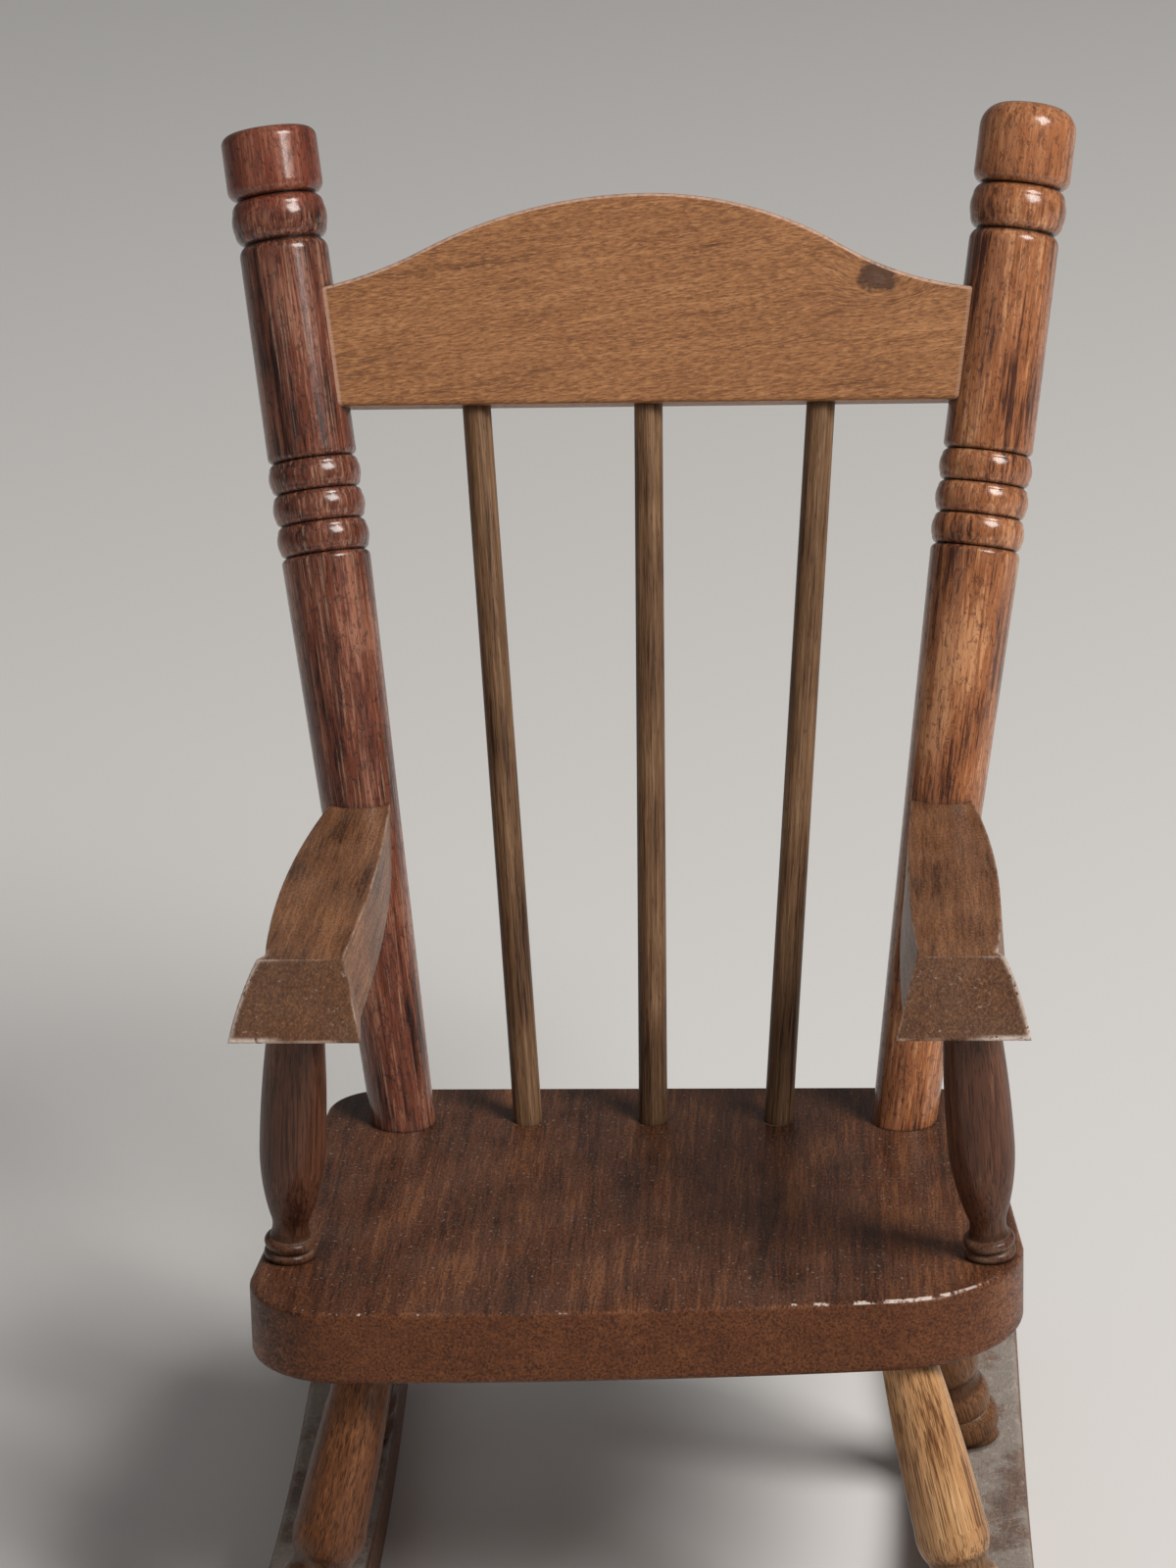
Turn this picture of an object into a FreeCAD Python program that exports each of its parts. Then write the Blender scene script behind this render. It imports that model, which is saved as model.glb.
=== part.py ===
import FreeCAD, Part

import math
import operator
import os
from types import SimpleNamespace

import Sketcher
from FreeCAD import Placement, Rotation, Vector

# A doll's rocking chair: a plank seat on four turned legs, two broad rockers, and a back of two
# turned posts, a camel-back crest rail and plain dowel spindles.
#
# Chair frame while the pieces are made: X to the right of someone who faces the chair, Y from the
# front edge of the seat to the back, Z up from the top face of the seat. At the end the whole
# chair is turned about the centre of its rocker arcs until its weight hangs below that centre,
# which is how it comes to rest, and is moved so that the origin lies on the floor at the middle
# of its outer box.

SIZES = {
    # seat: one plank, its front edge bowed and sawn a little askew
    "seat_width": 140.0,
    "seat_rear_width": 130.0,
    "seat_depth": 116.0,
    "seat_thickness": 13.7,
    "seat_front_left_corner": 18.0,
    "seat_front_right_corner": 27.0,
    "seat_front_turn": 6.8,
    "seat_rear_corner": 12.0,
    "seat_arris": 1.2,
    # back: posts, crest rail and spindles lie in one leaning plane
    "back_setback": 96.8,
    "back_lean": 16.75,
    "post_inset": 15.8,
    "post_splay": 7.5,
    "post_body_length": 183.9,
    "left_finial_length": 13.3,
    "right_finial_length": 16.2,
    "left_finial_round": 2.2,
    "right_finial_round": 5.0,
    "finial_diameter": 19.0,
    "collar_diameter": 18.2,
    "collar_length": 8.9,
    "post_diameter": 17.6,
    "post_foot_diameter": 12.6,
    "shoulder_reach": 2.3,
    "shoulder_depth": 1.6,
    "ring_start": 112.9,
    "ring_pitch": 6.23,
    "ring_crown": 0.35,
    "groove_reach": 1.3,
    "groove_depth": 1.3,
    "post_tenon_diameter": 9.5,
    "post_tenon_length": 10.0,
    "rail_height": 140.7,
    "rail_crown_depth": 41.0,
    "rail_left_crown_reach": 44.0,
    "rail_left_flank_slope": 27.0,
    "rail_left_end_depth": 22.8,
    "rail_right_crown_reach": 38.0,
    "rail_right_flank_slope": 31.0,
    "rail_right_end_depth": 21.7,
    "rail_thickness": 10.6,
    "rail_housing": 5.0,
    "rail_arris": 0.7,
    "spindle_diameter": 5.6,
    "spindle_seat_depth": 8.0,
    "spindle_rail_depth": 9.0,
    # arms and their turned supports
    "arm_height": 61.3,
    "arm_thickness": 11.5,
    "arm_front": 14.5,
    "arm_nose_angle": 45.0,
    "arm_inset": 5.4,
    "arm_width": 14.0,
    "arm_waist": 17.0,
    "arm_swell": 2.5,
    "arm_inner_slope": 2.6,
    "arm_outer_slope": 1.2,
    "arm_inner_flare": 1.4,
    "arm_outer_flare": 4.2,
    "arm_nose_bulge": 0.8,
    "arm_rear_inset": 0.5,
    "arm_scribe": 2.5,
    "arm_dowel_diameter": 3.0,
    "arm_dowel_length": 15.0,
    "support_inset": 6.2,
    "support_setback": 27.0,
    "support_lean_in": 4.5,
    "support_lean_forward": 7.5,
    "support_ring_diameter": 9.4,
    "support_neck_diameter": 7.6,
    "support_belly_diameter": 12.0,
    "support_belly_height": 23.0,
    "support_top_diameter": 8.6,
    "support_ring_length": 2.3,
    "support_cove_length": 4.6,
    "support_cove_depth": 0.5,
    "support_tenon_diameter": 5.5,
    "support_tenon_length": 7.5,
    # legs: one turning, used four times
    "leg_inset": 21.5,
    "leg_front_setback": 14.1,
    "leg_rear_setback": 84.0,
    "leg_splay": 13.5,
    "leg_front_rake": 7.5,
    "leg_rear_rake": 16.0,
    "leg_top_diameter": 8.8,
    "leg_belly_diameter": 13.2,
    "leg_neck_diameter": 11.4,
    "leg_foot_diameter": 12.4,
    "leg_upper_bead_diameter": 14.1,
    "leg_lower_bead_diameter": 14.8,
    "leg_bead_length": 6.2,
    "leg_foot_length": 1.1,
    "leg_neck_length": 2.6,
    "leg_neck_hollow": 0.3,
    "leg_shoulder_length": 6.0,
    "leg_shoulder_bulge": 0.5,
    "leg_taper_bulge": 0.4,
    "leg_tenon_diameter": 7.0,
    "leg_tenon_length": 8.0,
    # rockers: broad curved runners
    "rocker_radius": 280.0,
    "rocker_top_radius": 330.0,
    "rocker_drop": 56.7,
    "rocker_middle_setback": 58.0,
    "rocker_outset": 2.0,
    "rocker_width": 19.0,
    "rocker_depth": 12.5,
    "rocker_front_reach": 96.0,
    "rocker_rear_reach": 104.0,
    "rocker_tip_round": 4.0,
    "rocker_arris": 1.6,
}

doc = FreeCAD.newDocument("DollsRockingChair")
sheet = doc.addObject("Spreadsheet::Sheet", "Sizes")


class Size:
    """A length or angle known as a number and as the spreadsheet formula that it comes from."""

    def __init__(self, value, formula):
        self.value = float(value)
        self.formula = formula

    def joined(self, other, sign, work, swapped=False):
        first, second = (size(other), self) if swapped else (self, size(other))
        formula = "({} {} {})".format(first.formula, sign, second.formula)
        return Size(work(first.value, second.value), formula)

    def __add__(self, other):
        return self.joined(other, "+", operator.add)

    def __sub__(self, other):
        return self.joined(other, "-", operator.sub)

    def __rsub__(self, other):
        return self.joined(other, "-", operator.sub, swapped=True)

    def __mul__(self, other):
        return self.joined(other, "*", operator.mul)

    def __truediv__(self, other):
        return self.joined(other, "/", operator.truediv)

    def __neg__(self):
        return Size(0, "0") - self

    __radd__ = __add__
    __rmul__ = __mul__


def size(number):
    """Take a plain number as a Size, and leave a Size as it is."""
    return number if isinstance(number, Size) else Size(number, repr(float(number)))


def sine(angle):
    return Size(math.sin(math.radians(angle.value)), "sin({})".format(angle.formula))


def cosine(angle):
    return Size(math.cos(math.radians(angle.value)), "cos({})".format(angle.formula))


def tangent(angle):
    return Size(math.tan(math.radians(angle.value)), "tan({})".format(angle.formula))


def root(number):
    return Size(math.sqrt(number.value), "sqrt({})".format(number.formula))


def chord(across, along):
    return root(across * across + along * along)


def sagitta(radius, span):
    """How far an arc of a radius stands out from its chord of a span."""
    return radius - root(radius * radius - span * span / 4)


def rollover(run, fall):
    """Bulge of a shoulder that starts level and rolls over by a fall within a run."""
    span = chord(run, fall)
    return span * (span - run) / (fall * 2)


def quarter_bulge(radius):
    """How far a quarter-round corner stands out from its chord."""
    return radius * (1 - math.sqrt(0.5))


def fill_sheet():
    """Write each driving size to the sheet, and return them all by name."""
    for row, (name, value) in enumerate(SIZES.items(), start=1):
        sheet.set("A{}".format(row), name)
        sheet.set("B{}".format(row), str(value))
        sheet.setAlias("B{}".format(row), name)
    doc.recompute()
    return SimpleNamespace(**{name: Size(sheet.get(name), "Sizes." + name) for name in SIZES})


s = fill_sheet()


# ---------------------------------------------------------------- drawing helpers

def bind(owner, path, value):
    """Tie a property of an object to the sheet."""
    owner.setExpression(path, size(value).formula)


def body_plane(body, role):
    return next(item for item in body.Origin.OriginFeatures if item.Role == role)


def end_at(sketch, edge, point):
    """Say which end of a sketch edge lies at a point: 1 for its start, 2 for its end."""
    gaps = [(sketch.getPoint(edge, end) - point).Length for end in (1, 2)]
    return 1 if gaps[0] < gaps[1] else 2


def outline(body, name, plane, corners):
    """Draw a closed outline on an origin plane of the body.

    Each corner is (x, y) or (x, y, bulge), where the bulge is how far the edge to the next corner
    stands out to its right. Every coordinate and every arc's radius is tied to the sheet.
    """
    sketch = body.newObject("Sketcher::SketchObject", name)
    sketch.AttachmentSupport = [(body_plane(body, plane), "")]
    sketch.MapMode = "FlatFace"
    points = [Vector(size(c[0]).value, size(c[1]).value, 0) for c in corners]
    for index, corner in enumerate(corners):
        start, end = points[index], points[(index + 1) % len(points)]
        bulge = size(corner[2]).value if len(corner) > 2 else 0
        if abs(bulge) < 1e-6:
            sketch.addGeometry(Part.LineSegment(start, end))
        else:
            run = end - start
            out = Vector(run.y, -run.x, 0).normalize() * bulge
            sketch.addGeometry(Part.Arc(start, (start + end) / 2 + out, end))
    for index, corner in enumerate(corners):
        previous = (index - 1) % len(corners)
        here = end_at(sketch, index, points[index])
        there = end_at(sketch, previous, points[index])
        sketch.addConstraint(Sketcher.Constraint("Coincident", previous, there, index, here))
        for axis, value in (("DistanceX", corner[0]), ("DistanceY", corner[1])):
            number = size(value)
            held = sketch.addConstraint(Sketcher.Constraint(axis, index, here, number.value))
            sketch.setExpression("Constraints[{}]".format(held), number.formula)
        if len(corner) > 2 and abs(size(corner[2]).value) >= 1e-6:
            radius = arc_radius(corner, corners[(index + 1) % len(corners)])
            held = sketch.addConstraint(Sketcher.Constraint("Radius", index, radius.value))
            sketch.setExpression("Constraints[{}]".format(held), radius.formula)
    return sketch


def arc_radius(corner, following):
    """Radius of the arc from one corner to the next, from its chord and its bulge."""
    across = size(following[0]) - corner[0]
    along = size(following[1]) - corner[1]
    bulge = size(corner[2])
    sagitta = Size(abs(bulge.value), "abs({})".format(bulge.formula))
    return ((across * across + along * along) / 4 + sagitta * sagitta) / (sagitta * 2)


def new_body(name):
    return doc.addObject("PartDesign::Body", name)


def turned(name, stations):
    """Turn a spindle about its own Z axis from (height, radius) stations, foot first.

    A third value in a station is the bulge of the curve up to the next one: positive swells.
    """
    body = new_body(name)
    corners = [(0, stations[0][0])]
    corners += [(station[1], station[0]) + tuple(station[2:]) for station in stations]
    corners += [(0, stations[-1][0])]
    sketch = outline(body, name + "_profile", "XZ_Plane", corners)
    spin = body.newObject("PartDesign::Revolution", name + "_turning")
    spin.Profile = sketch
    spin.ReferenceAxis = (sketch, ["V_Axis"])
    spin.Angle = 360
    sketch.Visibility = False
    return body


def padded(name, plane, corners, thickness):
    """Saw a board of an outline, its thickness shared equally by both sides of the plane."""
    body = new_body(name)
    sketch = outline(body, name + "_outline", plane, corners)
    pad = body.newObject("PartDesign::Pad", name + "_board")
    pad.Profile = sketch
    bind(pad, "Length", thickness)
    pad.Midplane = True
    sketch.Visibility = False
    doc.recompute()
    return body


def round_edges(body, chosen, radius):
    """Ease the edges of the body that the test picks."""
    board = body.Tip
    edges = enumerate(board.Shape.Edges, start=1)
    names = ["Edge{}".format(number) for number, edge in edges if chosen(edge)]
    fillet = body.newObject("PartDesign::Fillet", body.Name + "_arris")
    fillet.Base = (board, names)
    bind(fillet, "Radius", radius)
    body.Tip = fillet
    doc.recompute()


def dowel(name, diameter, length, foot, direction):
    """A plain round rod from a point along a direction."""
    rod = doc.addObject("Part::Cylinder", name)
    bind(rod, "Radius", size(diameter) / 2)
    bind(rod, "Height", length)
    rod.Placement = along(foot, direction)
    return rod


def along(foot, direction):
    """The placement that stands a piece's own Z axis at a point, along a direction."""
    return Placement(foot, Rotation(Vector(0, 0, 1), direction))


def cut(name, base, *tools):
    """Take one or more solids away from another."""
    result = doc.addObject("Part::Cut", name)
    result.Base = base
    result.Tool = tools[0] if len(tools) == 1 else together(name + "_tools", tools)
    return result


def together(name, solids):
    group = doc.addObject("Part::Compound", name)
    group.Links = list(solids)
    return group


def glued(name, *solids):
    """Join solids that are one piece of wood."""
    result = doc.addObject("Part::MultiFuse", name)
    result.Shapes = list(solids)
    result.Refine = True
    return result


# ---------------------------------------------------------------- lines that the pieces follow

SIDES = {"left": -1, "right": 1}


def unit(x, y, z):
    return Vector(x, y, z).normalize()


def back_point(across, up):
    """A point of the leaning back plane, from the middle of the seat's top face."""
    lean = math.radians(s.back_lean.value)
    return Vector(across, s.back_setback.value + up * math.sin(lean), up * math.cos(lean))


def post_offset(up):
    """How far a post's axis stands from the middle of the back, at a height up the back plane."""
    return s.seat_rear_width / 2 - s.post_inset + size(up) * tangent(s.post_splay)


def post_axis(side_name):
    foot = back_point(SIDES[side_name] * post_offset(0).value, 0)
    head = back_point(SIDES[side_name] * post_offset(1).value, 1)
    return foot, (head - foot).normalize()


def rocker_lowest():
    """Height of the rockers' underside at its lowest point."""
    return -(s.seat_thickness + s.rocker_drop + s.rocker_depth)


def rocker_heights(reach):
    """Heights of a rocker's underside and top, at a distance along Y from its lowest point."""
    under = s.rocker_radius
    over = s.rocker_top_radius
    lowest = rocker_lowest()
    lower = lowest + under - root(under * under - reach * reach)
    upper = lowest + s.rocker_depth + over - root(over * over - reach * reach)
    return lower, upper


def leg_axis(side_name, end):
    """Foot of a leg's axis on the rocker's top, its direction up, and its length to the seat."""
    setback = s.leg_front_setback if end == "front" else s.leg_rear_setback
    rake = s.leg_front_rake if end == "front" else -s.leg_rear_rake
    outward = SIDES[side_name] * tangent(s.leg_splay).value
    across = SIDES[side_name] * (s.seat_width / 2 - s.leg_inset).value
    head = Vector(across, setback.value, -s.seat_thickness.value)
    up = unit(-outward, tangent(rake).value, 1)
    # the foot lies where the axis meets the circle of the rocker's top, seen from the side
    radius = s.rocker_top_radius.value
    middle = rocker_lowest().value + s.rocker_depth.value + radius
    offset = head - Vector(head.x, s.rocker_middle_setback.value, middle)
    slope = Vector(0, up.y, up.z)
    forward = offset.dot(slope)
    steep = slope.dot(slope)
    reach = (forward + math.sqrt(forward ** 2 - steep * (offset.dot(offset) - radius ** 2))) / steep
    return head - up * reach, up, reach


def rocker_offset():
    """The rockers' middle line passes a little outside the feet of the front and rear legs."""
    feet = (leg_axis("right", "front")[0].x + leg_axis("right", "rear")[0].x) / 2
    return feet + s.rocker_outset.value


def support_axis(side_name):
    side = SIDES[side_name]
    foot = Vector(side * (s.seat_width / 2 - s.support_inset).value, s.support_setback.value, 0)
    inward = tangent(s.support_lean_in).value
    forward = tangent(s.support_lean_forward).value
    return foot, unit(-side * inward, -forward, 1)


def support_length():
    """Length of a support's axis between the seat and the underside of the arm."""
    inward = tangent(s.support_lean_in)
    forward = tangent(s.support_lean_forward)
    return (s.arm_height - s.arm_thickness) * root(inward * inward + forward * forward + 1)


# ---------------------------------------------------------------- seat

def make_seat_board():
    """The plank: its front edge bows back to the right, where a wider corner takes over."""
    front, rear = s.seat_width / 2, s.seat_rear_width / 2
    left, right, small = s.seat_front_left_corner, s.seat_front_right_corner, s.seat_rear_corner
    turn = s.seat_front_turn
    meet = front - right * (1 - sine(turn))
    bow_radius = (meet + front - left) / sine(turn)
    set_back = bow_radius * (1 - cosine(turn))
    corners = [
        (-front + left, 0, bow_radius * (1 - cosine(turn / 2))),
        (meet, set_back, right * (1 - cosine((90 - turn) / 2))),
        (front, set_back + right * cosine(turn)),
        (rear, s.seat_depth - small, quarter_bulge(small)),
        (rear - small, s.seat_depth),
        (-rear + small, s.seat_depth, quarter_bulge(small)),
        (-rear, s.seat_depth - small),
        (-front, left, quarter_bulge(left)),
    ]
    body = padded("seat_board", "XY_Plane", corners, s.seat_thickness)
    half = s.seat_thickness.value / 2

    def on_a_face(edge):
        return edge.BoundBox.ZLength < 1e-6 and abs(abs(edge.BoundBox.ZMin) - half) < 1e-6

    round_edges(body, on_a_face, s.seat_arris)
    body.Placement = Placement(Vector(0, 0, -half), Rotation())
    return body


# ---------------------------------------------------------------- back

RINGS = 3


def groove(middle, reach, lower, floor, upper, crown):
    """A groove between two round shoulders, and the crown of what follows it."""
    return [
        (middle - reach, lower, rollover(reach, lower - floor)),
        (middle, floor, rollover(reach, upper - floor)),
        (middle + reach, upper) + crown,
    ]


def post_stations(finial_length, finial_round):
    """Plain tapering foot, a band of rings between grooves, plain shaft, collar and finial."""
    shaft = s.post_diameter / 2
    collar = s.collar_diameter / 2
    finial = s.finial_diameter / 2
    stations = [(-s.seat_thickness / 2, s.post_foot_diameter / 2)]
    stations += [(0, s.post_foot_diameter / 2)]
    for number in range(RINGS + 1):
        middle = s.ring_start + s.ring_pitch * number
        crown = (s.ring_crown,) if number < RINGS else ()
        stations += groove(middle, s.groove_reach, shaft, shaft - s.groove_depth, shaft, crown)
    top = s.post_body_length
    floor = collar - s.shoulder_depth
    crown = (s.ring_crown,)
    stations += groove(top - s.collar_length, s.shoulder_reach, shaft, floor, collar, crown)
    stations += groove(top, s.shoulder_reach, collar, floor, finial, ())
    end = top + finial_length
    stations += [(end - finial_round, finial, quarter_bulge(finial_round))]
    stations += [(end, finial - finial_round)]
    return stations


def make_post_blank(side_name):
    shapes = {
        "left": (s.left_finial_length, s.left_finial_round),
        "right": (s.right_finial_length, s.right_finial_round),
    }
    blank = turned("post_turning_" + side_name, post_stations(*shapes[side_name]))
    blank.Placement = along(*post_axis(side_name))
    return blank


def make_post_tenon(side_name):
    """The round tenon on a post's foot, which starts inside the post."""
    foot, up = post_axis(side_name)
    start = foot - up * s.post_tenon_length.value
    length = s.post_tenon_length + s.seat_thickness
    return dowel("post_tenon_" + side_name, s.post_tenon_diameter, length, start, up)


def rail_end(up):
    """Half length of the rail at a height up the back plane: its end stops inside the post."""
    stop = s.post_diameter / 2 - s.rail_housing
    return post_offset(up) - stop / cosine(s.post_splay)


def rail_flank(side_name):
    """One side of the rail's top edge: where its end and its crown lie, and the bulge of both arcs.

    The crown arc leaves the middle level and reaches the flank slope. There a hollow arc takes
    over on the same slope and runs out to the end.
    """
    shapes = {
        "left": (s.rail_left_crown_reach, s.rail_left_flank_slope, s.rail_left_end_depth),
        "right": (s.rail_right_crown_reach, s.rail_right_flank_slope, s.rail_right_end_depth),
    }
    reach, slope, end_depth = shapes[side_name]
    shoulder = s.rail_height + end_depth
    end = rail_end(shoulder)
    meet = s.rail_height + s.rail_crown_depth - reach * (1 - cosine(slope)) / sine(slope)
    crown_span = chord(reach, s.rail_height + s.rail_crown_depth - meet)
    crown_bulge = sagitta(reach / sine(slope), crown_span)
    run, fall = end - reach, meet - shoulder
    span = chord(run, fall)
    along_slope = cosine(slope) * run + sine(slope) * fall
    off_slope = sine(slope) * run - cosine(slope) * fall
    hollow = span / 2 * (span - along_slope) / off_slope
    return (end, shoulder), (reach, meet), crown_bulge, hollow


def make_rail_board():
    """Camel-back outline: two hollow flanks that run into one round crown."""
    bottom = s.rail_height
    left_end, left_meet, left_crown, left_hollow = rail_flank("left")
    right_end, right_meet, right_crown, right_hollow = rail_flank("right")
    corners = [
        (-rail_end(bottom), bottom),
        (rail_end(bottom), bottom),
        (right_end[0], right_end[1], -right_hollow),
        (right_meet[0], right_meet[1], right_crown),
        (0, bottom + s.rail_crown_depth, left_crown),
        (-left_meet[0], left_meet[1], -left_hollow),
        (-left_end[0], left_end[1]),
    ]
    body = padded("rail_board", "XZ_Plane", corners, s.rail_thickness)
    thickness = s.rail_thickness.value

    def along_a_face(edge):
        box = edge.BoundBox
        on_face = box.YLength < 1e-6 and abs(abs(box.YMin) - thickness / 2) < 1e-6
        return on_face and box.XLength > thickness

    round_edges(body, along_a_face, s.rail_arris)
    body.Placement = Placement(back_point(0, 0), Rotation(Vector(1, 0, 0), -s.back_lean.value))
    return body


def make_spindle(name, share):
    """One dowel of the back, at a share of the way from the middle to the right post."""
    foot = back_point(share * post_offset(0).value, 0)
    head = back_point(share * post_offset(s.rail_height).value, s.rail_height.value)
    up = (head - foot).normalize()
    start = foot - up * s.spindle_seat_depth.value
    length = s.spindle_seat_depth + s.spindle_rail_depth + (head - foot).Length
    return dowel(name, s.spindle_diameter, length, start, up)


# ---------------------------------------------------------------- arms

def arm_nose():
    """Where the lower front edge of an arm lies."""
    return s.arm_front - s.arm_thickness / tangent(s.arm_nose_angle)


def arm_plan(inner_spread, outer_spread):
    """Plan of the right arm: it swells outwards, flares at the nose and thins to its post."""
    nose = arm_nose()
    waist = s.arm_waist
    level = s.arm_height - s.arm_thickness / 2
    rear = s.back_setback + level * tangent(s.back_lean) - s.arm_scribe
    post_line = post_offset(level / cosine(s.back_lean))
    half_rear = s.post_foot_diameter / 2 - s.arm_rear_inset
    side = s.seat_width / 2 - s.arm_inset
    inner = side - s.arm_width - inner_spread
    outer = side + outer_spread
    return [
        (inner - s.arm_inner_flare, nose),
        (outer + s.arm_outer_flare, nose, s.arm_nose_bulge),
        (outer, waist, s.arm_swell),
        (post_line + half_rear, rear),
        (post_line - half_rear, rear, s.arm_swell / 2),
        (inner, waist),
    ]


def make_arm_blank():
    """The right arm, wider below than above, before its sockets are cut."""
    body = new_body("arm_blank")
    lower_plan = arm_plan(s.arm_inner_slope, s.arm_outer_slope)
    upper_plan = arm_plan(size(0), size(0))
    lower = outline(body, "arm_lower_plan", "XY_Plane", lower_plan)
    upper = outline(body, "arm_upper_plan", "XY_Plane", upper_plan)
    bind(lower, "AttachmentOffset.Base.z", s.arm_height - s.arm_thickness)
    bind(upper, "AttachmentOffset.Base.z", s.arm_height)
    loft = body.newObject("PartDesign::AdditiveLoft", "arm_loft")
    loft.Profile = lower
    loft.Sections = [upper]
    loft.Ruled = True
    doc.recompute()
    make_nose_cut(body)
    doc.recompute()
    return body


def make_nose_cut(body):
    """Saw the front end back at the nose angle, from its lower front edge up."""
    nose = arm_nose()
    bottom = s.arm_height - s.arm_thickness
    room = s.arm_thickness
    corners = [
        (nose, bottom),
        (s.arm_front * 2 - nose, s.arm_height + room),
        (nose - room, s.arm_height + room),
        (nose - room, bottom),
    ]
    pocket = body.newObject("PartDesign::Pocket", "arm_nose")
    pocket.Profile = outline(body, "arm_nose_profile", "YZ_Plane", corners)
    pocket.Type = "ThroughAll"
    pocket.Midplane = True
    body.Tip = pocket


def mirrored(name, source):
    """The left-hand copy of a right-hand piece."""
    copy = doc.addObject("Part::Mirroring", name)
    copy.Source = source
    copy.Normal = Vector(1, 0, 0)
    return copy


def make_arm_dowel(name, side_name):
    """A hidden dowel that runs from the middle of a post forwards into its arm."""
    foot, up = post_axis(side_name)
    level = s.arm_height - s.arm_thickness / 2
    middle = foot + up * (level.value / up.z)
    return dowel(name, s.arm_dowel_diameter, s.arm_dowel_length, middle, Vector(0, -1, 0))


def support_stations():
    """Two small rings on the seat, a cove, and a long belly that thins towards the arm."""
    neck = s.support_neck_diameter / 2
    crown = s.support_ring_diameter / 2 - neck
    ring = s.support_ring_length
    cove_end = ring * 2 + s.support_cove_length
    return [
        (-s.seat_thickness / 3, neck),
        (0, neck, crown),
        (ring, neck, crown),
        (ring * 2, neck, -s.support_cove_depth),
        (cove_end, neck, s.support_cove_depth),
        (s.support_belly_height, s.support_belly_diameter / 2, s.support_cove_depth),
        (support_length() + s.arm_thickness / 3, s.support_top_diameter / 2),
    ]


def make_support_blank(side_name):
    blank = turned("support_turning_" + side_name, support_stations())
    blank.Placement = along(*support_axis(side_name))
    return blank


def make_support_tenon(side_name):
    """A round core through the support, left standing as a tenon at both ends."""
    foot, up = support_axis(side_name)
    start = foot - up * s.support_tenon_length.value
    length = support_length() + s.support_tenon_length * 2
    return dowel("support_tenon_" + side_name, s.support_tenon_diameter, length, start, up)


# ---------------------------------------------------------------- legs and rockers

def leg_stations(length):
    """From the rocker up: short foot, two beads, neck, round shoulder, then a thinning shank."""
    foot = s.leg_foot_diameter / 2
    neck = s.leg_neck_diameter / 2
    lower = s.leg_foot_length
    upper = lower + s.leg_bead_length
    neck_start = upper + s.leg_bead_length
    shoulder = neck_start + s.leg_neck_length
    return [
        (-s.rocker_depth / 3, foot),
        (lower, foot, s.leg_lower_bead_diameter / 2 - foot),
        (upper, foot, s.leg_upper_bead_diameter / 2 - foot),
        (neck_start, neck, -s.leg_neck_hollow),
        (shoulder, neck, s.leg_shoulder_bulge),
        (shoulder + s.leg_shoulder_length, s.leg_belly_diameter / 2, s.leg_taper_bulge),
        (length + s.seat_thickness / 3, s.leg_top_diameter / 2),
    ]


def make_leg_blank(side_name, end):
    foot, up, length = leg_axis(side_name, end)
    blank = turned("_".join(("leg_turning", end, side_name)), leg_stations(size(length)))
    blank.Placement = along(foot, up)
    return blank


def make_leg_tenon(side_name, end):
    """A round core through the leg, left standing as a tenon at the seat and at the rocker."""
    foot, up, length = leg_axis(side_name, end)
    start = foot - up * s.leg_tenon_length.value
    whole = s.leg_tenon_length * 2 + length
    return dowel("_".join(("leg_tenon", end, side_name)), s.leg_tenon_diameter, whole, start, up)


def make_rocker_board(side_name):
    """A runner between two arcs that draw together towards its rounded tips."""
    middle = s.rocker_middle_setback
    front, rear = middle - s.rocker_front_reach, middle + s.rocker_rear_reach
    front_low, front_high = rocker_heights(s.rocker_front_reach)
    rear_low, rear_high = rocker_heights(s.rocker_rear_reach)
    low_chord = chord(rear - front, rear_low - front_low)
    high_chord = chord(rear - front, rear_high - front_high)
    corners = [
        (front, front_low, sagitta(s.rocker_radius, low_chord)),
        (rear, rear_low),
        (rear, rear_high, -sagitta(s.rocker_top_radius, high_chord)),
        (front, front_high),
    ]
    body = padded("rocker_board_" + side_name, "YZ_Plane", corners, s.rocker_width)

    def across_a_tip(edge):
        return edge.BoundBox.XLength > s.rocker_width.value / 2

    def round_a_side(edge):
        return edge.BoundBox.XLength < 1e-6

    round_edges(body, across_a_tip, s.rocker_tip_round)
    round_edges(body, round_a_side, s.rocker_arris)
    body.Placement = Placement(Vector(SIDES[side_name] * rocker_offset(), 0, 0), Rotation())
    return body


# ---------------------------------------------------------------- joinery

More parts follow.
